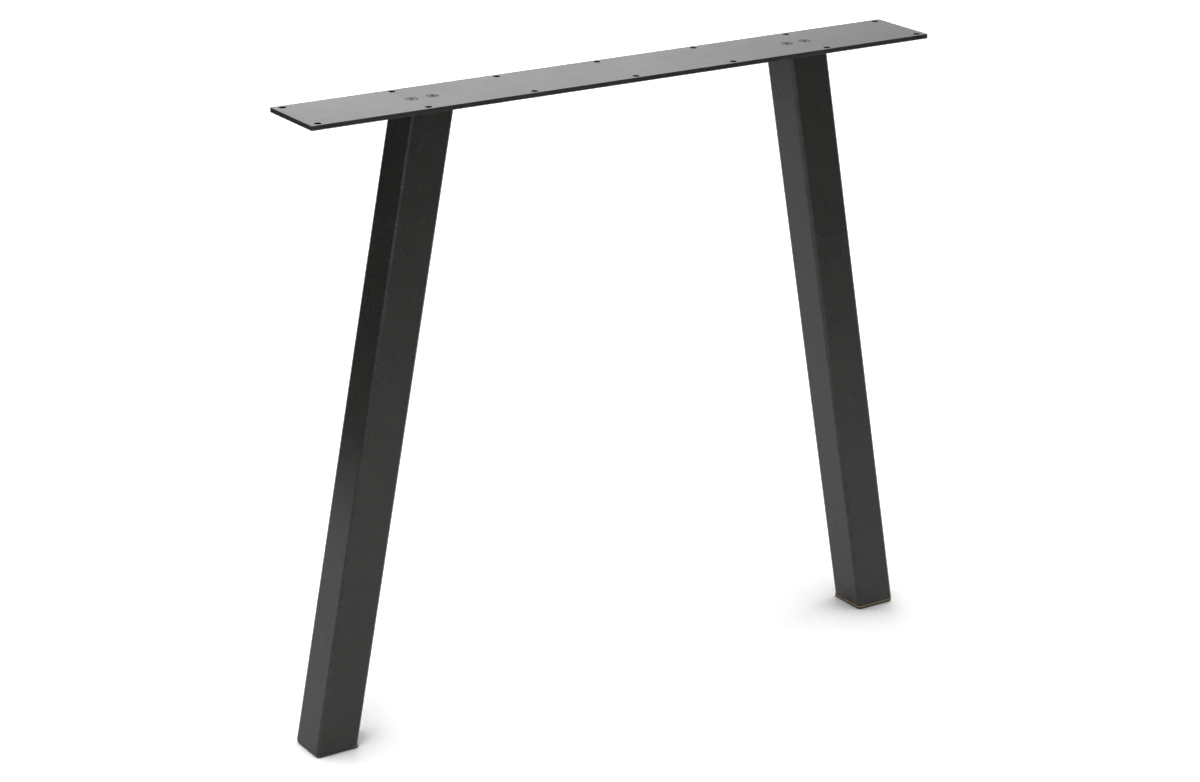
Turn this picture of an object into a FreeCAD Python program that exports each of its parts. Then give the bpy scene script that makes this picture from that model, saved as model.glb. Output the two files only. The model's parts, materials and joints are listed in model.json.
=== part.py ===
import FreeCAD, Part
import math
import os

# Trestle table leg: a flat plate that screws under a table top, on two splayed legs of square tube.
# All sizes are in millimetres. The origin is on the floor, midway between the feet.
# +X runs along the plate, from the left leg to the right leg, and +Z points up.

Vector = FreeCAD.Vector
UP = Vector(0, 0, 1)

# Stance
HEIGHT = 710.0               # floor to the plate's top face
LEG_INSET = 153.5            # plate's end to a leg's centre line, at the plate's underside
SPLAY_ANGLE = 10.5           # lean of each leg from the vertical, in degrees

# Mounting plate, of flat bar
PLATE_LENGTH = 790.0
PLATE_WIDTH = 90.0
PLATE_THICKNESS = 5.0
PLATE_CORNER_RADIUS = 1.5    # the plate's four corners, seen from above
PLATE_EDGE_BREAK = 0.5       # broken edges round its top and bottom faces
HOLES_PER_ROW = 7
HOLE_DIAMETER = 7.0
HOLE_END_MARGIN = 11.0       # plate end to the nearest hole's centre
HOLE_SIDE_MARGIN = 7.0       # plate side to the row's centre line

# Leg tube
TUBE_SIZE = 50.0
TUBE_WALL = 2.0
TUBE_CORNER_RADIUS = 4.5     # outside corners

# Threaded head plate, welded inside the top of each tube
HEAD_PLATE_THICKNESS = 5.0
WELD_GAP = 0.1               # between the head plate and the tube wall

# Countersunk socket screws, two into each head plate
SCREW_DIAMETER = 6.0
SCREW_SPACING = 25.0
SCREW_PROTRUSION = 2.0       # past the head plate's lower face
SCREW_POINT_CHAMFER = 0.7
SCREW_HEAD_DIAMETER = 12.0
SCREW_HEAD_ANGLE = 90.0      # the head's cone, across, in degrees
SCREW_HEAD_RIM = 0.3         # straight rim above that cone
SCREW_SINK = 0.1             # head below the plate's top face
SOCKET_ACROSS_FLATS = 4.0
SOCKET_DEPTH = 2.3
SEAT_CLEARANCE = 0.05        # between the head's cone and its countersink
SHANK_CLEARANCE = 0.3        # round the shank in the mounting plate
THREAD_CLEARANCE = 0.05      # round the shank in the head plate's thread

# Foot cap, moulded in one piece: a flange under the tube and a ribbed plug inside it
FLANGE_THICKNESS = 4.0
FLANGE_OVERHANG = 0.3        # how far the flange is larger than the tube's cut end, on each side
FLANGE_SHIFT = 0.8           # flange off the tube's middle, towards the other leg
FLANGE_TOP_BREAK = 0.4
FLANGE_BOTTOM_BREAK = 2.0    # deep, so that the foot doesn't catch when it is slid over the floor
PLUG_HEIGHT = 24.0           # above the flange
PLUG_WALL = 2.0
RIBS = 4
RIB_DEPTH = 2.5              # from the plug's wall to the rib's rim
RIB_THICKNESS = 1.2
RIB_CLEARANCE = 0.1          # between a rib's rim and the tube's bore

# Values that follow from the sizes above
PLATE_UNDERSIDE = HEIGHT - PLATE_THICKNESS
LEG_SPREAD = PLATE_LENGTH - 2 * LEG_INSET   # between the legs' centre lines, at the plate's underside
HOLE_PITCH = (PLATE_LENGTH - 2 * HOLE_END_MARGIN) / (HOLES_PER_ROW - 1)
HOLE_ROW_Y = PLATE_WIDTH / 2 - HOLE_SIDE_MARGIN
BORE_SIZE = TUBE_SIZE - 2 * TUBE_WALL
LEAST_RADIUS = 0.2           # sharpest inside corner that the tube and the cap are made with
BORE_CORNER_RADIUS = max(TUBE_CORNER_RADIUS - TUBE_WALL, LEAST_RADIUS)
MITRE_LENGTH = TUBE_SIZE / math.cos(math.radians(SPLAY_ANGLE))   # the tube's cut end, along X
HEAD_PLATE_UNDERSIDE = PLATE_UNDERSIDE - HEAD_PLATE_THICKNESS
SCREW_TOP = HEIGHT - SCREW_SINK
SCREW_END = HEAD_PLATE_UNDERSIDE - SCREW_PROTRUSION
HEAD_CONE_SLOPE = math.tan(math.radians(SCREW_HEAD_ANGLE / 2))   # radius gained for each mm of height
PLUG_TOP = FLANGE_THICKNESS + PLUG_HEIGHT
OVERSHOOT = 1.0              # how far a cutting body runs past the face it cuts
LEVEL_TOLERANCE = 1e-6

SIDES = {"left": -1, "right": 1}
HEXAGON = 6


def rounded_rectangle(length, width, radius):
    """Flat face about the origin, length along X and width along Y, with four round corners."""
    edges = []
    for quarter, (sign_x, sign_y) in enumerate(((1, 1), (-1, 1), (-1, -1), (1, -1))):
        centre = Vector(sign_x * (length / 2 - radius), sign_y * (width / 2 - radius), 0)
        start = math.radians(90 * quarter)
        corner = Part.ArcOfCircle(Part.Circle(centre, UP, radius), start, start + math.radians(90))
        edges.append(corner.toShape())
    sides = []
    for edge, following in zip(edges, edges[1:] + edges[:1]):
        sides.append(Part.makeLine(edge.Vertexes[-1].Point, following.Vertexes[0].Point))
    outline = [edge for pair in zip(edges, sides) for edge in pair]
    return Part.Face(Part.Wire(outline))


def rounded_square(size, radius):
    """Flat square face about the origin, with four round corners."""
    return rounded_rectangle(size, size, radius)


def square(size):
    """Flat square face about the origin, with sharp corners."""
    return Part.makePlane(size, size, Vector(-size / 2, -size / 2, 0))


def rim_at(shape, height):
    """Edges of a shape that lie level at one height."""
    level = []
    for edge in shape.Edges:
        box = edge.BoundBox
        if max(abs(box.ZMin - height), abs(box.ZMax - height)) < LEVEL_TOLERANCE:
            level.append(edge)
    return level


def leg_centre(side, height):
    """Point on a leg's centre line at a height above the floor."""
    drop = PLATE_UNDERSIDE - height
    return Vector(side * (LEG_SPREAD / 2 + drop * math.tan(math.radians(SPLAY_ANGLE))), 0, height)


def leg_slice(side, profile, bottom, top):
    """Bar of a given profile along a leg's centre line, cut level at two heights."""
    start = leg_centre(side, bottom)
    run = leg_centre(side, top) - start
    slope = Vector(run).normalize()
    spare = profile.BoundBox.DiagonalLength
    profile.Placement = FreeCAD.Placement(start - slope * spare, FreeCAD.Rotation(UP, slope))
    bar = profile.extrude(run + slope * 2 * spare)
    reach = run.Length + 2 * spare
    slab = Part.makeBox(2 * reach, 2 * reach, top - bottom, start - Vector(reach, reach, 0))
    return bar.common(slab).Solids[0]


def screw_places(side):
    """X of the two screws over a leg, set about its centre line at the plate's underside."""
    centre = leg_centre(side, PLATE_UNDERSIDE).x
    return [centre - SCREW_SPACING / 2, centre + SCREW_SPACING / 2]


def turned(outline, x):
    """Solid turned about an upright axis at x, from an outline of (radius, height) points."""
    points = [Vector(radius, 0, height) for radius, height in outline]
    face = Part.Face(Part.makePolygon(points + points[:1]))
    body = face.revolve(Vector(0, 0, 0), UP, 360)
    body.translate(Vector(x, 0, 0))
    return body


def countersink(x):
    """Cutting body for one countersunk hole, a clearance wider than the screw all the way down."""
    bore = SCREW_DIAMETER / 2 + SHANK_CLEARANCE
    rim_height = SCREW_TOP - SCREW_HEAD_RIM
    rim = SCREW_HEAD_DIAMETER / 2 + SEAT_CLEARANCE
    top = HEIGHT + OVERSHOOT
    bottom = PLATE_UNDERSIDE - OVERSHOOT
    mouth = rim + (top - rim_height) * HEAD_CONE_SLOPE
    throat_height = rim_height - (rim - bore) / HEAD_CONE_SLOPE
    outline = [(0, bottom), (bore, bottom), (bore, throat_height), (mouth, top), (0, top)]
    return turned(outline, x)


def mounting_plate():
    """Flat bar with broken edges, two rows of plain holes and a countersunk hole for each screw."""
    outline = rounded_rectangle(PLATE_LENGTH, PLATE_WIDTH, PLATE_CORNER_RADIUS)
    blank = outline.extrude(UP * PLATE_THICKNESS)
    blank = blank.makeChamfer(PLATE_EDGE_BREAK, rim_at(blank, 0) + rim_at(blank, PLATE_THICKNESS))
    blank.translate(UP * PLATE_UNDERSIDE)
    cutters = []
    for row_y in (-HOLE_ROW_Y, HOLE_ROW_Y):
        for place in range(HOLES_PER_ROW):
            x = place * HOLE_PITCH + HOLE_END_MARGIN - PLATE_LENGTH / 2
            foot = Vector(x, row_y, PLATE_UNDERSIDE - OVERSHOOT)
            cutters.append(Part.makeCylinder(HOLE_DIAMETER / 2, PLATE_THICKNESS + 2 * OVERSHOOT, foot))
    for side in SIDES.values():
        cutters += [countersink(x) for x in screw_places(side)]
    return blank.cut(cutters).Solids[0]


def leg_tube(side):
    """Square tube with round corners, cut level under the plate and on top of the foot cap."""
    outside = leg_slice(side, rounded_square(TUBE_SIZE, TUBE_CORNER_RADIUS),
                        FLANGE_THICKNESS, PLATE_UNDERSIDE)
    bore = leg_slice(side, rounded_square(BORE_SIZE, BORE_CORNER_RADIUS),
                     FLANGE_THICKNESS - OVERSHOOT, PLATE_UNDERSIDE + OVERSHOOT)
    return outside.cut(bore).Solids[0]


def head_plate(side):
    """Steel plate that fills the tube's bore, flush with its top, with a thread for each screw."""
    blank = leg_slice(side, rounded_square(BORE_SIZE - 2 * WELD_GAP, BORE_CORNER_RADIUS),
                      HEAD_PLATE_UNDERSIDE, PLATE_UNDERSIDE)
    threads = []
    for x in screw_places(side):
        foot = Vector(x, 0, HEAD_PLATE_UNDERSIDE - OVERSHOOT)
        depth = HEAD_PLATE_THICKNESS + 2 * OVERSHOOT
        threads.append(Part.makeCylinder(SCREW_DIAMETER / 2 + THREAD_CLEARANCE, depth, foot))
    return blank.cut(threads).Solids[0]


def plate_screw(x):
    """Countersunk screw with a hexagon socket, its head just below the plate's top face."""
    radius = SCREW_DIAMETER / 2
    head = SCREW_HEAD_DIAMETER / 2
    rim_height = SCREW_TOP - SCREW_HEAD_RIM
    neck_height = rim_height - (head - radius) / HEAD_CONE_SLOPE
    point = radius - SCREW_POINT_CHAMFER
    outline = [
        (0, SCREW_END),
        (point, SCREW_END),
        (radius, SCREW_END + SCREW_POINT_CHAMFER),
        (radius, neck_height),
        (head, rim_height),
        (head, SCREW_TOP),
        (0, SCREW_TOP),
    ]
    corner_reach = SOCKET_ACROSS_FLATS / 2 / math.cos(math.pi / HEXAGON)
    corners = []
    for step in range(HEXAGON):
        turn = 2 * math.pi * step / HEXAGON
        corner = Vector(math.cos(turn), math.sin(turn), 0) * corner_reach
        corners.append(corner + Vector(x, 0, SCREW_TOP - SOCKET_DEPTH))
    hexagon = Part.Face(Part.makePolygon(corners + corners[:1]))
    socket = hexagon.extrude(UP * (SOCKET_DEPTH + OVERSHOOT))
    return turned(outline, x).cut(socket).Solids[0]


def plate_screws():
    """The four screws, which are all alike."""
    return Part.makeCompound([plate_screw(x) for side in SIDES.values() for x in screw_places(side)])


def foot_cap(side):
    """Flange on the floor, with a hollow plug on the leg's slope above it and ribs that grip the bore."""
    outline = rounded_rectangle(MITRE_LENGTH + 2 * FLANGE_OVERHANG, TUBE_SIZE + 2 * FLANGE_OVERHANG,
                                TUBE_CORNER_RADIUS + FLANGE_OVERHANG)
    flange = outline.extrude(UP * FLANGE_THICKNESS)
    flange = flange.makeChamfer(FLANGE_BOTTOM_BREAK, rim_at(flange, 0))
    flange = flange.makeChamfer(FLANGE_TOP_BREAK, rim_at(flange, FLANGE_THICKNESS))
    flange.translate(Vector(leg_centre(side, FLANGE_THICKNESS).x - side * FLANGE_SHIFT, 0, 0))
    rib_size = BORE_SIZE - 2 * RIB_CLEARANCE
    plug_size = rib_size - 2 * RIB_DEPTH
    plug = leg_slice(side, square(plug_size), FLANGE_THICKNESS, PLUG_TOP)
    rib_pitch = (PLUG_HEIGHT - RIB_THICKNESS) / RIBS
    ribs = []
    for place in range(1, RIBS + 1):
        bottom = FLANGE_THICKNESS + place * rib_pitch
        rib = rounded_square(rib_size, BORE_CORNER_RADIUS)
        ribs.append(leg_slice(side, rib, bottom, bottom + RIB_THICKNESS))
    hollow = leg_slice(side, square(plug_size - 2 * PLUG_WALL), FLANGE_THICKNESS, PLUG_TOP + OVERSHOOT)
    return flange.fuse(plug.fuse(ribs).cut(hollow)).removeSplitter().Solids[0]


nodes = {"mounting_plate": mounting_plate(), "plate_screws": plate_screws()}
for name, side in SIDES.items():
    nodes[name + "_leg_tube"] = leg_tube(side)
    nodes[name + "_head_plate"] = head_plate(side)
    nodes[name + "_foot_cap"] = foot_cap(side)

os.makedirs("parts", exist_ok=True)
for name, shape in nodes.items():
    shape.exportStep(os.path.join("parts", name + ".step"))
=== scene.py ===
import json
import math

import bmesh
import bpy
from mathutils import Matrix, Vector


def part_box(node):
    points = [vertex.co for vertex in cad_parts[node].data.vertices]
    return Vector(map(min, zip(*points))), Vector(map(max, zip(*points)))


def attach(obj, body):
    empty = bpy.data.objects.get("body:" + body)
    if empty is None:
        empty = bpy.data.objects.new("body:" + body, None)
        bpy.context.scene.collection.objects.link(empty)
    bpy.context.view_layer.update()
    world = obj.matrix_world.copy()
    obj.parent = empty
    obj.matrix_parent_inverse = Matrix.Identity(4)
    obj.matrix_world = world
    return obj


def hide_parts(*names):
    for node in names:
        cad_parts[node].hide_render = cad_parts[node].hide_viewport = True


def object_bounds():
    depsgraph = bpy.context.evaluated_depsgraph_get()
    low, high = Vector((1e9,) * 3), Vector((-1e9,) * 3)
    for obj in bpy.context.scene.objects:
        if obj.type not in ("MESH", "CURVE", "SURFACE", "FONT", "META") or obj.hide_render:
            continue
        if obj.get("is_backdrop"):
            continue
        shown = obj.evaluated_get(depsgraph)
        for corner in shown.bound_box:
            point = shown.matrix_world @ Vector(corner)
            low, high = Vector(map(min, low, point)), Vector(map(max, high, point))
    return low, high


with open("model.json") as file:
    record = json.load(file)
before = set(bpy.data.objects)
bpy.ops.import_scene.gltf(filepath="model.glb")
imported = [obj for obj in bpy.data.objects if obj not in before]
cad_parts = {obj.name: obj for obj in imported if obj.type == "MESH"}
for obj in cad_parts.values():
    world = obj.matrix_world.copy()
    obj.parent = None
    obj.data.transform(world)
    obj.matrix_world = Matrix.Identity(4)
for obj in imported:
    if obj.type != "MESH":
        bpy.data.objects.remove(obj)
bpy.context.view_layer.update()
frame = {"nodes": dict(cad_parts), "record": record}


# Leg tubes. Two lengths of cold-formed square steel tube, sawn on the slant so that they lean outwards
# and still stand level. The cut ends are deburred and the tubes are powder-coated satin black.

MM = 0.001
SIDES = {"left": -1, "right": 1}
SPLAY = math.radians(10.5)
TUBE_WALL = 2 * MM
TUBE_CORNER = 4.5 * MM            # outside radius of the formed corners
SAW_BREAK = 0.35 * MM             # rounding that deburring and the coat leave on a cut end
HANDLED_END = 9 * MM              # how far from a cut end the coat is rubbed and painted with a highlight
CORNER_STEPS = 12
ROUNDING_STEPS = 4
SHARPEST = 0.1 * MM               # no corner or point is drawn finer

tube_low, tube_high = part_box("right_leg_tube")
TUBE_SIZE = tube_high.y - tube_low.y
MITRE = TUBE_SIZE / math.cos(SPLAY)          # the slanting cut is longer than the tube is wide
TUBE_FOOT = tube_low.z
TUBE_HEAD = tube_high.z


def leg_centre(side, height):
    """X of a leg's centre line at a height above the floor."""
    return side * (tube_high.x - MITRE / 2 - (height - TUBE_FOOT) * math.tan(SPLAY))


def outline(length, width, radius):
    """Points round a rectangle with round corners: along, across, and how far into a corner from 0 to 1."""
    points = []
    for quarter, (right, far) in enumerate(((1, 1), (-1, 1), (-1, -1), (1, -1))):
        for step in range(CORNER_STEPS + 1):
            turn = math.radians(90) * (quarter + step / CORNER_STEPS)
            along = right * (length / 2 - radius) + radius * math.cos(turn)
            across = far * (width / 2 - radius) + radius * math.sin(turn)
            points.append((along, across, math.sin(math.pi * step / CORNER_STEPS)))
    return points


def rounding(size):
    """Steps over a rounded edge, from its end face to its side: inset from the side, rise from the end."""
    steps = []
    for step in range(ROUNDING_STEPS + 1):
        turn = math.radians(90) * step / ROUNDING_STEPS
        steps.append((size * (1 - math.sin(turn)), size * (1 - math.cos(turn))))
    return steps


def new_mesh():
    """Empty mesh whose points carry how much the finish is rubbed and painted with highlight there; -1 deep
    in a hole marks painted shade.
    """
    mesh = bmesh.new()
    mesh.verts.layers.float.new("rub_and_painted_light")
    return mesh


def ring(mesh, points):
    """Ring of mesh points from x, y, z and rub."""
    layer = mesh.verts.layers.float["rub_and_painted_light"]
    made = []
    for x, y, z, rub_and_painted_light in points:
        point = mesh.verts.new((x, y, z))
        point[layer] = rub_and_painted_light
        made.append(point)
    return made


def skin(mesh, rings):
    """Four-sided faces from each ring to the next."""
    for lower, upper in zip(rings, rings[1:]):
        for this in range(len(lower)):
            previous = this - 1
            mesh.faces.new((lower[previous], lower[this], upper[this], upper[previous]))


def new_object(name, mesh, material):
    """Object in the scene from a finished mesh and its material."""
    data = bpy.data.meshes.new(name)
    mesh.to_mesh(data)
    mesh.free()
    data.materials.append(material)
    made = bpy.data.objects.new(name, data)
    bpy.context.scene.collection.objects.link(made)
    return made


def finished_piece(name, mesh, material, node):
    """Smooth piece from a closed mesh, riding on the frame in place of the node that it stands for."""
    bmesh.ops.recalc_face_normals(mesh, faces=mesh.faces)
    piece = new_object(name, mesh, material)
    piece.data.shade_smooth()
    even = piece.modifiers.new("flat faces stay flat", "WEIGHTED_NORMAL")
    even.keep_sharp = True
    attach(piece, "root")
    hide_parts(node)


class Shade:
    """One output of a material's nodes. Arithmetic on it adds Math nodes, and node() adds any other kind."""

    def __init__(self, socket):
        self.socket = socket

    def node(self, kind, settings, sockets, output=0):
        """New node with its settings and then its sockets set, a value or a link each."""
        tree = self.socket.id_data
        made = tree.nodes.new("ShaderNode" + kind)
        for name, value in settings.items():
            setattr(made, name, value)
        for name, value in sockets.items():
            if isinstance(value, Shade):
                tree.links.new(value.socket, made.inputs[name])
            else:
                made.inputs[name].default_value = value
        return Shade(made.outputs[output]) if made.outputs else None

    def maths(self, operation, first, second):
        return self.node("Math", {"operation": operation}, {0: first, 1: second})

    def __add__(self, other):
        return self.maths("ADD", self, other)

    def __radd__(self, other):
        return self.maths("ADD", other, self)

    def __sub__(self, other):
        return self.maths("SUBTRACT", self, other)

    def __rsub__(self, other):
        return self.maths("SUBTRACT", other, self)

    def __mul__(self, other):
        return self.maths("MULTIPLY", self, other)

    def __rmul__(self, other):
        return self.maths("MULTIPLY", other, self)

    def between(self, low, high):
        """Smooth step from 0 at low to 1 at high."""
        return self.node("MapRange", {"interpolation_type": "SMOOTHSTEP"},
                         {"Value": self, "From Min": low, "From Max": high})

    def mixed(self, colour, other):
        """Colour where this mask is 0, and the other colour where it is 1."""
        # The node's sockets 6 and 7 and its output 2 are the ones for colours.
        return self.node("Mix", {"data_type": "RGBA"}, {0: self, 6: colour, 7: other}, output=2)

    def axis(self, letter):
        """X, Y or Z of this place."""
        return self.node("SeparateXYZ", {}, {0: self}, output=letter)

    def rubbed_and_painted_light(self):
        """How much the finish is rubbed and painted with highlight, and below 0 painted with shade, as the
        mesh's points say.
        """
        return self.node("Attribute", {"attribute_name": "rub_and_painted_light"}, {}, output="Fac")

    def noise(self, size, detail):
        """Cloudy values about 0.5 over this place, with blotches of about that size in metres."""
        return self.node("TexNoise", {}, {"Vector": self, "Scale": 1 / size, "Detail": detail})

    def varied(self, amount):
        """This noise as a change about 0, as large as the amount."""
        return (self - 0.5) * amount

    def bumped(self, depth, under=None):
        """Surface normal of this height, from 0 to 1, over that depth in metres."""
        below = {} if under is None else {"Normal": under}
        return self.node("Bump", {}, {"Height": self, "Distance": depth, "Strength": 1.0, **below})

    def surface(self, sockets):
        """Ends the material with a shader that has those sockets."""
        shader = self.node("BsdfPrincipled", {}, sockets)
        self.node("OutputMaterial", {}, {"Surface": shader})


def new_material(name):
    """Empty material, and the place on a piece, in metres, that its nodes start from."""
    material = bpy.data.materials.new(name)
    material.use_nodes = True
    nodes = material.node_tree.nodes
    nodes.clear()
    return material, Shade(nodes.new("ShaderNodeTexCoord").outputs["Object"])


COAT_BLACK = (0.0125, 0.0142, 0.0100, 1)
COAT_DUSTY = (0.0200, 0.0215, 0.0170, 1)
COAT_WORN_HIGHLIGHT = (0.0260, 0.0255, 0.0225, 1)
SHADE_IN_HOLES = (0.010, 0.010, 0.010, 1)
COAT_ROUGHNESS = 0.28
COAT_IOR = 1.5
HOLE_ROUGHER = 0.6                # roughness added to the coat's where the holes are painted with shade
CLOUD = 110 * MM                  # wide drifts of dust and polish
CLOUD_SHARE = 0.6                 # of the dust's pattern, the rest being blotches
CLOUD_GLOSS = 0.10                # how much the drifts change the roughness
BLOTCH = 18 * MM                  # finger-sized marks
BLOTCH_GLOSS = 0.06
DUST_RANGE = (0.35, 0.75)         # of the pattern, from black to dusty
WEAR_HIGHLIGHT_RANGE = (0.35, 0.65)         # of the blotches, from whole to worn and painted with highlight
ORANGE_PEEL = 2.2 * MM
ORANGE_PEEL_DEPTH = 0.003 * MM
GRAIN = 0.35 * MM
GRAIN_DEPTH = 0.0006 * MM

powder_coat, place = new_material("black powder coat")
clouds = place.noise(CLOUD, detail=3)
blotches = place.noise(BLOTCH, detail=4)
orange_peel = place.noise(ORANGE_PEEL, detail=2)
grain = place.noise(GRAIN, detail=1)
rubbed_and_painted_light = place.rubbed_and_painted_light()
# Rubbed ends, edges and the tubes' corners are painted lighter: edge wear, and a painted highlight along the
# arrises.
worn_and_highlit = rubbed_and_painted_light.between(0, 1) * blotches.between(*WEAR_HIGHLIGHT_RANGE)
# Below 0 the mark paints shade in the holes: near-black metal that reflects almost nothing.
painted_hole_shade = (0 - rubbed_and_painted_light).between(0, 1)
dust = (clouds * CLOUD_SHARE + blotches * (1 - CLOUD_SHARE)).between(*DUST_RANGE)
coat = worn_and_highlit.mixed(dust.mixed(COAT_BLACK, COAT_DUSTY), COAT_WORN_HIGHLIGHT)
gloss_marks = clouds.varied(CLOUD_GLOSS) + blotches.varied(BLOTCH_GLOSS)
place.surface({
    "Base Color": painted_hole_shade.mixed(coat, SHADE_IN_HOLES),
    "Roughness": COAT_ROUGHNESS + gloss_marks + painted_hole_shade * HOLE_ROUGHER,
    "Metallic": painted_hole_shade,
    "IOR": COAT_IOR,
    "Normal": grain.bumped(GRAIN_DEPTH, orange_peel.bumped(ORANGE_PEEL_DEPTH)),
})


def tube_ring(mesh, side, height, inset, rub_and_painted_light):
    """Level ring round a leg, that far in from the tube's outside."""
    radius = max(TUBE_CORNER - inset, SHARPEST)
    points = []
    # The corners carry the full mark, which paints a highlight along the tube's arrises.
    for along, across, corner in outline(TUBE_SIZE - 2 * inset, TUBE_SIZE - 2 * inset, radius):
        x = leg_centre(side, height) + along / math.cos(SPLAY)
        points.append((x, across, height, max(rub_and_painted_light, corner)))
    return ring(mesh, points)


for name, side in SIDES.items():
    mesh = new_mesh()
    rings = []
    for inset, rise in rounding(SAW_BREAK):
        rings.append(tube_ring(mesh, side, TUBE_FOOT + rise, inset, 1))
    rings.append(tube_ring(mesh, side, TUBE_FOOT + HANDLED_END, 0, 0))
    rings.append(tube_ring(mesh, side, TUBE_HEAD - HANDLED_END, 0, 0))
    for inset, rise in reversed(rounding(SAW_BREAK)):
        rings.append(tube_ring(mesh, side, TUBE_HEAD - rise, inset, 1))
    for inset, rise in rounding(SAW_BREAK):
        rings.append(tube_ring(mesh, side, TUBE_HEAD - rise, TUBE_WALL - inset, 0))
    for inset, rise in reversed(rounding(SAW_BREAK)):
        rings.append(tube_ring(mesh, side, TUBE_FOOT + rise, TUBE_WALL - inset, 0))
    skin(mesh, rings + rings[:1])
    finished_piece(name + "_coated_tube", mesh, powder_coat, name + "_leg_tube")


# Head plates. A thick square of steel is welded inside the top of each tube, flush with the cut, and
# tapped for the two screws. The coat covers it with the tube, and the mounting plate hides it.

for name in SIDES:
    frame["nodes"][name + "_head_plate"].material_slots[0].material = powder_coat


# Mounting plate. One length of flat steel bar, drilled along both sides for the screws that hold the
# table top and countersunk over each leg, with its edges broken and the same coat as the tubes.

PLATE_CORNER = 1.5 * MM
PLATE_EDGE = 0.6 * MM             # rounded by grinding and by the coat
RUBBED_HIGHLIT_EDGE = 2 * PLATE_EDGE      # how far in from its outline the plate's coat is rubbed and painted with highlight
HOLE_RIM = 0.15 * MM
HOLE_SHADE_RING = 0.3 * MM              # painted shade in a ring round a hole's mouth
COLLAR = 1.6 * MM                 # flat band of even faces round each hole
HOLE_STEPS = 40
SCREW_SPACING = 25 * MM
SCREW_HEAD = 12 * MM
SCREW_SHANK = 6 * MM
HEAD_RIM = 0.3 * MM
HEAD_SINK = 0.1 * MM              # head below the plate's top
SEAT_CLEARANCE = 0.05 * MM
SHANK_CLEARANCE = 0.3 * MM
SEAT_RIM = 0.08 * MM
SEAT_SHADE_RING = 0.3 * MM              # painted shade in a ring round a screw's seat
SEAT_SHADE_DEPTHS = (0.7, 1.0, 0.6, 0.5)      # how dark that painted shade is at each screw

plate_low, plate_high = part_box("mounting_plate")
plate_size = plate_high - plate_low
PLATE_TOP = plate_high.z
PLATE_UNDERSIDE = plate_low.z
seat_low = PLATE_TOP - HEAD_SINK - HEAD_RIM      # where a screw head's cone starts


def plate_ring(mesh, height, inset, rub_and_painted_light):
    """Level ring round the plate, that far in from its outline."""
    points = outline(plate_size.x - 2 * inset, plate_size.y - 2 * inset, PLATE_CORNER - inset)
    return ring(mesh, [(x, y, height, rub_and_painted_light) for x, y, corner in points])


def round_ring(mesh, x, y, height, radius, rub_and_painted_light=0.0):
    """Level circle of mesh points."""
    points = []
    for step in range(HOLE_STEPS):
        turn = 2 * math.pi * step / HOLE_STEPS
        points.append((x + radius * math.cos(turn), y + radius * math.sin(turn), height, rub_and_painted_light))
    return ring(mesh, points)


def hole_rings(mesh, x, y, radius):
    """Rings of a plain hole from the plate's top, over both rims, to its underside."""
    rings = [round_ring(mesh, x, y, PLATE_TOP, radius + COLLAR)]
    rings.append(round_ring(mesh, x, y, PLATE_TOP, radius + HOLE_RIM + HOLE_SHADE_RING))
    # The mouth and the wall are painted with shade.
    for inset, rise in rounding(HOLE_RIM):
        rings.append(round_ring(mesh, x, y, PLATE_TOP - rise, radius + inset, -1))
    for inset, rise in reversed(rounding(HOLE_RIM)):
        rings.append(round_ring(mesh, x, y, PLATE_UNDERSIDE + rise, radius + inset, -rise / HOLE_RIM))
    rings.append(round_ring(mesh, x, y, PLATE_UNDERSIDE, radius + COLLAR))
    return rings


def seat_rings(mesh, x, shade_depth):
    """Rings of a screw's countersunk hole from the plate's top to its underside."""
    head = SCREW_HEAD / 2 + SEAT_CLEARANCE
    mouth = head + PLATE_TOP - seat_low
    bore = SCREW_SHANK / 2 + SHANK_CLEARANCE
    throat = seat_low - (head - bore)
    # A ring round the mouth and the whole countersink are painted with shade.
    profile = [
        (mouth + SEAT_SHADE_RING + COLLAR, PLATE_TOP, 0),
        (mouth + SEAT_SHADE_RING, PLATE_TOP, 0),
        (mouth + SEAT_RIM, PLATE_TOP, -shade_depth),
        (mouth, PLATE_TOP - SEAT_RIM / 2, -1),
        (head, seat_low, -1),
        (bore, throat, -1),
        (bore, PLATE_UNDERSIDE + HOLE_RIM, -1),
        (bore + HOLE_RIM, PLATE_UNDERSIDE, 0),
        (bore + HOLE_RIM + COLLAR, PLATE_UNDERSIDE, 0),
    ]
    return [round_ring(mesh, x, 0, height, radius, rub_and_painted_light) for radius, height, rub_and_painted_light in profile]


def flat_face(mesh, rings):
    """Fills the level area inside the first ring and outside the others."""
    edges = []
    for around in rings:
        for this in range(len(around)):
            ends = (around[this - 1], around[this])
            edges.append(mesh.edges.get(ends) or mesh.edges.new(ends))
    bmesh.ops.triangle_fill(mesh, edges=edges, use_beauty=True)


mesh = new_mesh()
border = []
for inset, rise in rounding(PLATE_EDGE):
    border.append(plate_ring(mesh, PLATE_UNDERSIDE + rise, inset, 1))
for inset, rise in reversed(rounding(PLATE_EDGE)):
    border.append(plate_ring(mesh, PLATE_TOP - rise, inset, 1))
border.insert(0, plate_ring(mesh, PLATE_UNDERSIDE, RUBBED_HIGHLIT_EDGE, 0))
border.append(plate_ring(mesh, PLATE_TOP, RUBBED_HIGHLIT_EDGE, 0))
skin(mesh, border)

drilled = []
for mount in frame["record"]["mounts"]:
    if mount["kind"] != "bolt_pattern":
        continue
    reach_x = mount["dims"].get("spacing_x_mm", 0) / 2 * MM
    reach_y = mount["dims"]["spacing_y_mm"] / 2 * MM
    for x in sorted({-reach_x, reach_x}):
        for y in (-reach_y, reach_y):
            drilled.append(hole_rings(mesh, x, y, mount["dims"]["hole_r_mm"] * MM))

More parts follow.
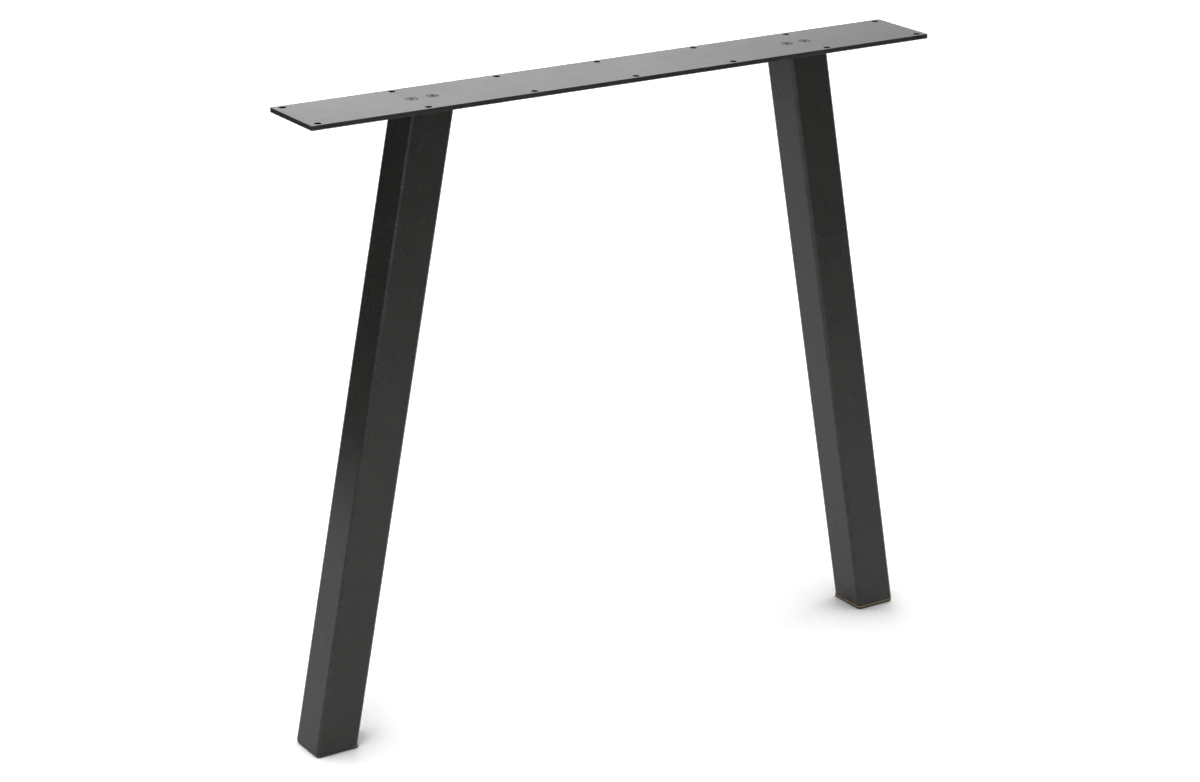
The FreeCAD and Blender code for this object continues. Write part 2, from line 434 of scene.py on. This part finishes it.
screw_places = []
for side in SIDES.values():
    for step in (-1, 1):
        screw_places.append(leg_centre(side, TUBE_HEAD) + step * SCREW_SPACING / 2)
for x, shade_depth in zip(screw_places, SEAT_SHADE_DEPTHS):
    drilled.append(seat_rings(mesh, x, shade_depth))

for rings in drilled:
    skin(mesh, rings)
flat_face(mesh, [border[-1]] + [rings[0] for rings in drilled])
flat_face(mesh, [border[0]] + [rings[-1] for rings in drilled])
finished_piece("coated_plate", mesh, powder_coat, "mounting_plate")


# Plate screws. Four countersunk machine screws of blackened steel, with a hexagon socket, turned down
# until their heads lie just under the plate's face. Their threads hold in the head plates.

SOCKET = 4 * MM                   # across flats
SOCKET_DEPTH = 2.3 * MM
SOCKET_LEAD = 0.35 * MM           # bevel at the socket's mouth
SOCKET_DRILL = 3.2 * MM           # pilot hole that the socket was pressed over
DRILL_POINT = 0.5 * MM
HEAD_EDGE = 0.15 * MM
THREAD_PITCH = 1 * MM
THREAD_DEPTH = 0.6 * MM
THREAD_ROWS = 8                   # rows of faces to a turn
SCREW_POINT = 0.7 * MM            # bevel at the screw's lower end
SCREW_TURNS = (0.35, 1.1, 0.7, 0.15)     # where each screw stopped, in radians
SCREW_BLACK = (0.020, 0.0185, 0.017, 1)
SCREW_BROWN = (0.120, 0.080, 0.048, 1)
BROWNING = (1.0, 0.2, 0.5, 0.4)   # of each screw's head
BROWN_RANGE = (0.3, 0.6)          # of the mottle, from black to brown
MOTTLE = 1.5 * MM
MOTTLE_GLOSS = 0.16
TURNING = 0.4 * MM                # fine marks of the lathe
TURNING_DEPTH = 0.006 * MM
SCREW_ROUGHNESS = 0.40
SCREW_IOR = 1.5

screw_low, screw_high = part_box("plate_screws")

blackened, place = new_material("blackened screw steel")
mottle = place.noise(MOTTLE, detail=3)
turning = place.noise(TURNING, detail=2)
# On the screws the same mark says only how brown a head is.
browned = place.rubbed_and_painted_light() * mottle.between(*BROWN_RANGE)
place.surface({
    "Base Color": browned.mixed(SCREW_BLACK, SCREW_BROWN),
    "Roughness": SCREW_ROUGHNESS + mottle.varied(MOTTLE_GLOSS),
    "IOR": SCREW_IOR,
    "Normal": turning.bumped(TURNING_DEPTH),
})


def hexagon(turn):
    """Distance from the socket's middle to its side in one direction."""
    sixth = math.radians(60)
    return SOCKET / 2 / math.cos(turn % sixth - sixth / 2)


def plain(radius):
    """The same reach in every direction."""
    return lambda turn: radius


def thread(height, start, end):
    """Reach of a thread at a height, fading out at both its ends."""
    fade = min(1, (start - height) / THREAD_PITCH, (height - end) / THREAD_PITCH)

    def reach(turn):
        phase = (height / THREAD_PITCH + turn / (2 * math.pi)) % 1
        return SCREW_SHANK / 2 - THREAD_DEPTH * max(fade, 0) * abs(2 * phase - 1)

    return reach


def screw_ring(mesh, x, turned, height, reach, rub_and_painted_light):
    """Ring about a screw's axis, its reach worked out for each direction."""
    points = []
    for step in range(HOLE_STEPS):
        turn = 2 * math.pi * step / HOLE_STEPS
        radius = reach(turn)
        along = radius * math.cos(turn + turned)
        across = radius * math.sin(turn + turned)
        points.append((x + along, across, height, rub_and_painted_light))
    return ring(mesh, points)


head_top = screw_high.z
socket_floor = head_top - SOCKET_DEPTH
socket_mouth = hexagon(0) + SHARPEST             # a circle just clear of the hexagon's corners
neck = seat_low - (SCREW_HEAD - SCREW_SHANK) / 2
thread_end = screw_low.z + SCREW_POINT
thread_rows = round((neck - thread_end) / THREAD_PITCH * THREAD_ROWS)
for number, (x, turned, brown) in enumerate(zip(screw_places, SCREW_TURNS, BROWNING), 1):
    stations = [
        (socket_floor - DRILL_POINT, plain(SHARPEST), 0),
        (socket_floor, plain(SOCKET_DRILL / 2), 0),
        (socket_floor, hexagon, 0),
        (head_top - SOCKET_LEAD, hexagon, 0),
        (head_top, plain(socket_mouth), brown / 2),
        (head_top, plain(SCREW_HEAD / 2 - HEAD_EDGE), brown),
        (head_top - HEAD_EDGE, plain(SCREW_HEAD / 2), brown),
        (head_top - HEAD_RIM, plain(SCREW_HEAD / 2), brown),
        (neck, plain(SCREW_SHANK / 2), 0),
    ]
    for row in range(1, thread_rows):
        height = neck - (neck - thread_end) * row / thread_rows
        stations.append((height, thread(height, neck, thread_end), 0))
    stations.append((thread_end, plain(SCREW_SHANK / 2), 0))
    stations.append((screw_low.z, plain(SCREW_SHANK / 2 - SCREW_POINT), 0))
    mesh = new_mesh()
    rings = [screw_ring(mesh, x, turned, height, reach, rub_and_painted_light) for height, reach, rub_and_painted_light in stations]
    skin(mesh, rings)
    mesh.faces.new(rings[0])
    mesh.faces.new(rings[-1])
    finished_piece("plate_screw_%d" % number, mesh, blackened, "plate_screws")


# Foot caps. Each is one moulding of dark plastic: a flange that the tube stands on, and a hollow plug
# with springy ribs that is driven up into the tube and keeps the cap on.

FLANGE_OVERHANG = 0.3 * MM
FLANGE_SHIFT = 0.8 * MM           # off the tube's middle, towards the other leg
FLANGE_TOP_EDGE = 0.4 * MM
FLANGE_BOTTOM_EDGE = 2 * MM
PLUG_WALL = 2 * MM
PLUG_CORNER = 1.2 * MM
RIBS = 4
RIB_DEPTH = 2.5 * MM
RIB_THICKNESS = 1.2 * MM
RIB_CLEARANCE = 0.1 * MM
RIB_EDGE = 0.25 * MM
RIB_CORNER = TUBE_CORNER - TUBE_WALL
CAP_DARK = (0.030, 0.026, 0.021, 1)
CAP_TAN_HIGHLIGHT = (0.30, 0.205, 0.100, 1)
TAN_LOW = 1.2 * MM                # below the tube, where the tan line begins
TAN_HIGH = 0.7 * MM               # below the tube, where it is full
TAN_LENGTH = {"left": 12 * MM, "right": 80 * MM}      # from a cap's right end; the right cap's is whole
TAN_FADE = 9 * MM
TAN_RANGE = (0.1, 0.5)            # of the mottle, from dark to tan
CAP_MOTTLE = 3 * MM
CAP_MOTTLE_GLOSS = 0.2
CAP_GRAIN = 0.5 * MM
CAP_GRAIN_DEPTH = 0.01 * MM
CAP_ROUGHNESS = 0.55
CAP_IOR = 1.5

BORE = TUBE_SIZE - 2 * TUBE_WALL
rib_size = BORE - 2 * RIB_CLEARANCE
plug_size = rib_size - 2 * RIB_DEPTH
hollow_size = plug_size - 2 * PLUG_WALL
flange_length = MITRE + 2 * FLANGE_OVERHANG
flange_width = TUBE_SIZE + 2 * FLANGE_OVERHANG
flange_corner = TUBE_CORNER + FLANGE_OVERHANG


def cap_plastic(name, tan_from):
    """Dark plastic with a tan line along the flange's upper edge, which comes in at that x: the plastic's
    own tan with a painted highlight.
    """
    material, place = new_material(name + " foot cap plastic")
    cap_mottle = place.noise(CAP_MOTTLE, detail=4)
    grain = place.noise(CAP_GRAIN, detail=2)
    band = place.axis("Z").between(TUBE_FOOT - TAN_LOW, TUBE_FOOT - TAN_HIGH)
    stretch = place.axis("X").between(tan_from, tan_from + TAN_FADE)
    # The tan line is the plastic's own tan with a painted highlight where the flange's upper edge meets the
    # light.
    tan = band * stretch * cap_mottle.between(*TAN_RANGE)
    place.surface({
        "Base Color": tan.mixed(CAP_DARK, CAP_TAN_HIGHLIGHT),
        "Roughness": CAP_ROUGHNESS + cap_mottle.varied(CAP_MOTTLE_GLOSS),
        "IOR": CAP_IOR,
        "Normal": grain.bumped(CAP_GRAIN_DEPTH),
    })
    return material


def flange_ring(mesh, side, height, inset):
    """Level ring round a flange, that far in from its outline."""
    middle = leg_centre(side, TUBE_FOOT) - side * FLANGE_SHIFT
    points = outline(flange_length - 2 * inset, flange_width - 2 * inset, flange_corner - inset)
    return ring(mesh, [(middle + along, across, height, corner) for along, across, corner in points])


def plug_ring(mesh, side, height, size, radius):
    """Level ring about a leg's centre line, on the leg's slope."""
    points = []
    for along, across, corner in outline(size, size, radius):
        points.append((leg_centre(side, height) + along / math.cos(SPLAY), across, height, 0))
    return ring(mesh, points)


for name, side in SIDES.items():
    cap_low, cap_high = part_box(name + "_foot_cap")
    rib_pitch = (cap_high.z - TUBE_FOOT - RIB_THICKNESS) / RIBS
    mesh = new_mesh()
    rings = []
    for inset, rise in rounding(FLANGE_BOTTOM_EDGE):
        rings.append(flange_ring(mesh, side, cap_low.z + rise, inset))
    for inset, rise in reversed(rounding(FLANGE_TOP_EDGE)):
        rings.append(flange_ring(mesh, side, TUBE_FOOT - rise, inset))
    rings.append(plug_ring(mesh, side, TUBE_FOOT, plug_size, PLUG_CORNER))
    for rib in range(1, RIBS + 1):
        low = TUBE_FOOT + rib * rib_pitch
        high = low + RIB_THICKNESS
        rim = rib_size - 2 * RIB_EDGE
        rings.append(plug_ring(mesh, side, low, plug_size, PLUG_CORNER))
        rings.append(plug_ring(mesh, side, low, rim, RIB_CORNER))
        rings.append(plug_ring(mesh, side, low + RIB_EDGE, rib_size, RIB_CORNER))
        rings.append(plug_ring(mesh, side, high - RIB_EDGE, rib_size, RIB_CORNER))
        rings.append(plug_ring(mesh, side, high, rim, RIB_CORNER))
        if rib < RIBS:
            rings.append(plug_ring(mesh, side, high, plug_size, PLUG_CORNER))
    rings.append(plug_ring(mesh, side, cap_high.z, hollow_size, PLUG_CORNER))
    rings.append(plug_ring(mesh, side, TUBE_FOOT, hollow_size, PLUG_CORNER))
    skin(mesh, rings)
    mesh.faces.new(rings[0])
    mesh.faces.new(rings[-1])
    plastic = cap_plastic(name, cap_high.x - TAN_LENGTH[name])
    finished_piece(name + "_moulded_cap", mesh, plastic, name + "_foot_cap")


# Floor. A wide sweep of matt white studio board, with a faint fibre in its face. The leg stands on it
# with nothing to fix it.

FLOOR_REACH = 30.0
FLOOR_WHITE = (0.93, 0.93, 0.93, 1)
FLOOR_SHADE = (0.91, 0.91, 0.91, 1)
FIBRE = 4 * MM
FIBRE_RANGE = (0.3, 0.7)          # of the fibres, from shade to white
FIBRE_GLOSS = 0.1
BOARD_ROUGHNESS = 0.85
BOARD_SHINE = 0.2

board, place = new_material("white studio board")
fibres = place.noise(FIBRE, detail=4)
place.surface({
    "Base Color": fibres.between(*FIBRE_RANGE).mixed(FLOOR_SHADE, FLOOR_WHITE),
    "Roughness": BOARD_ROUGHNESS + fibres.varied(FIBRE_GLOSS),
    "Specular IOR Level": BOARD_SHINE,
})
mesh = bmesh.new()
bmesh.ops.create_grid(mesh, x_segments=1, y_segments=1, size=FLOOR_REACH)
new_object("studio_floor", mesh, board)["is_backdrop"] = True


# Cards. Two upright boards that only the gloss of the pieces sees, pale or lit at the floor and darker
# above: one behind the leg to its left, one in front of it to its right. They darken the legs' tops.

CARD_TURN = math.radians(33.5)
CARD_ROUGHNESS = 0.9
CARD_SHINE = 0.1


def grey(level):
    """Colour of an even grey."""
    return (level, level, level, 1)


def card(name, x, y, width, height, pale, dark, glow, fade_from, fade_to):
    """Board through a place on the floor. Its colour and glow fade between two heights."""
    paint, place = new_material(name)
    faded = place.axis("Z").between(fade_from, fade_to)
    place.surface({
        "Base Color": faded.mixed(grey(pale), grey(dark)),
        "Roughness": CARD_ROUGHNESS,
        "Specular IOR Level": CARD_SHINE,
        "Emission Color": faded.mixed(grey(glow), grey(0)),
        "Emission Strength": 1.0,
    })
    reach_x = width / 2 * math.cos(CARD_TURN)
    reach_y = width / 2 * math.sin(CARD_TURN)
    mesh = bmesh.new()
    low = [mesh.verts.new((x + end * reach_x, y + end * reach_y, 0)) for end in (-1, 1)]
    high = [mesh.verts.new((x + end * reach_x, y + end * reach_y, height)) for end in (1, -1)]
    mesh.faces.new(low + high)
    made = new_object(name, mesh, paint)
    made.visible_camera = False
    made.visible_diffuse = False
    made.visible_shadow = False
    made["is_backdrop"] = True


card("back_card", -0.85, 0.72, width=1.3, height=1.6,
     pale=0.30, dark=0.16, glow=0.70, fade_from=0.03, fade_to=0.20)
card("front_card", 0.51, -0.80, width=2.4, height=1.3,
     pale=0.90, dark=0.40, glow=0.0, fade_from=0.0, fade_to=0.38)


# Light. A pale room with one bright wall behind the leg, and softboxes with grids hung over the floor,
# which light it evenly round the leg. A dim bluish window at the left draws the line on the tubes' corners.

ROOM_LIGHT = (0.48, 0.48, 0.48, 1)
WALL_LIGHT = (1.75, 1.73, 1.76, 1)
WALL_HEADING = math.radians(22)   # from +Y towards +X
WALL_RISE = math.radians(16)
WALL_MIDDLE = math.radians(6)     # evenly lit this far from the wall's middle
WALL_EDGE = math.radians(24)      # no brighter than the room from here on
SOFTBOXES = (
    # name, x, y, height, size, spread of the grid in degrees, radiance
    ("left_leg_light", -0.4, 0.3, 2.4, 1.4, 80, 0.65),
    ("right_leg_light", 1.5, 0.5, 2.4, 1.4, 60, 0.60),
    ("front_light", 0.1, -0.4, 2.3, 1.2, 60, 0.27),
    ("camera_light", -1.0, -1.2, 2.3, 1.4, 80, 0.88),
    ("left_back_light", 0.4, 2.1, 2.6, 1.4, 60, 0.40),
    ("far_light", 2.2, 3.4, 3.0, 2.2, 90, 1.16),
)
WHITE_LIGHT = (1, 1, 1)
WINDOW_TINT = (0.80, 0.95, 1.10)
WINDOW_PLACE = (-2.2, -1.28, 0.75)
WINDOW_AIM = (-0.3, 0, 0.6)       # the left leg's upper end
WINDOW_SIZE = 1.0
WINDOW_SPREAD = 70
WINDOW_RADIANCE = 0.12

room = bpy.data.worlds.new("studio room")
room.use_nodes = True
room.node_tree.nodes.clear()
direction = Shade(room.node_tree.nodes.new("ShaderNodeTexCoord").outputs["Generated"])
wall = (
    math.sin(WALL_HEADING) * math.cos(WALL_RISE),
    math.cos(WALL_HEADING) * math.cos(WALL_RISE),
    math.sin(WALL_RISE),
)
facing = direction.node("VectorMath", {"operation": "DOT_PRODUCT"}, {0: direction, 1: wall}, output="Value")
seen = facing.between(math.cos(WALL_EDGE), math.cos(WALL_MIDDLE)).mixed(ROOM_LIGHT, WALL_LIGHT)
direction.node("OutputWorld", {}, {"Surface": direction.node("Background", {}, {"Color": seen})})
bpy.context.scene.world = room


def softbox(name, at, towards, size, spread, radiance, colour):
    """Square light with a grid, which keeps its light within that spread in degrees."""
    light = bpy.data.lights.new(name, "AREA")
    light.shape = "SQUARE"
    light.size = size
    light.spread = math.radians(spread)
    light.energy = radiance * size * size * math.pi
    light.color = colour
    lamp = bpy.data.objects.new(name, light)
    lamp.location = at
    lamp.rotation_euler = (Vector(towards) - Vector(at)).to_track_quat("-Z", "Y").to_euler()
    lamp.visible_camera = False
    bpy.context.scene.collection.objects.link(lamp)


for name, x, y, height, size, spread, radiance in SOFTBOXES:
    softbox(name, (x, y, height), (x, y, 0), size, spread, radiance, WHITE_LIGHT)
softbox("window", WINDOW_PLACE, WINDOW_AIM, WINDOW_SIZE, WINDOW_SPREAD, WINDOW_RADIANCE, WINDOW_TINT)


# Camera. It stands before the leg's left end, a little over head height for someone seated, and looks
# down on the leg through a long lens.

CAMERA_PLACE = (-1.73143, -2.59373, 1.46089)
CAMERA_HEADING = math.radians(-33.455)
CAMERA_TILT = math.radians(-19.761)
CAMERA_ROLL = math.radians(0.487)
CAMERA_LENS = 88.71               # mm, for a picture 36 mm wide
PICTURE_WIDTH = 36

lens = bpy.data.cameras.new("camera")
lens.sensor_width = PICTURE_WIDTH
lens.lens = CAMERA_LENS
camera = bpy.data.objects.new("camera", lens)
heading = Matrix.Rotation(CAMERA_HEADING, 4, "Z")
tilt = Matrix.Rotation(math.radians(90) + CAMERA_TILT, 4, "X")
roll = Matrix.Rotation(CAMERA_ROLL, 4, "Z")
camera.matrix_world = Matrix.Translation(CAMERA_PLACE) @ heading @ tilt @ roll
bpy.context.scene.collection.objects.link(camera)
bpy.context.scene.camera = camera


# The print. Tones up to the plate's grey stay as they are, and the floor, which is a little under
# white, prints white.

PRINT_KNEE = 0.45                 # brightness up to which nothing changes
PRINT_WHITE = 0.70                # brightness that prints white

print_settings = bpy.context.scene.view_settings
print_settings.view_transform = "Standard"
print_settings.use_curve_mapping = True
tones = print_settings.curve_mapping
all_colours = tones.curves[3]     # the first three are red, green and blue alone
for tone, printed in ((PRINT_KNEE / 2, PRINT_KNEE / 2), (PRINT_KNEE, PRINT_KNEE), (PRINT_WHITE, 1)):
    point = all_colours.points.new(tone, printed)
    point.handle_type = "VECTOR"
tones.update()

low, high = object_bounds()
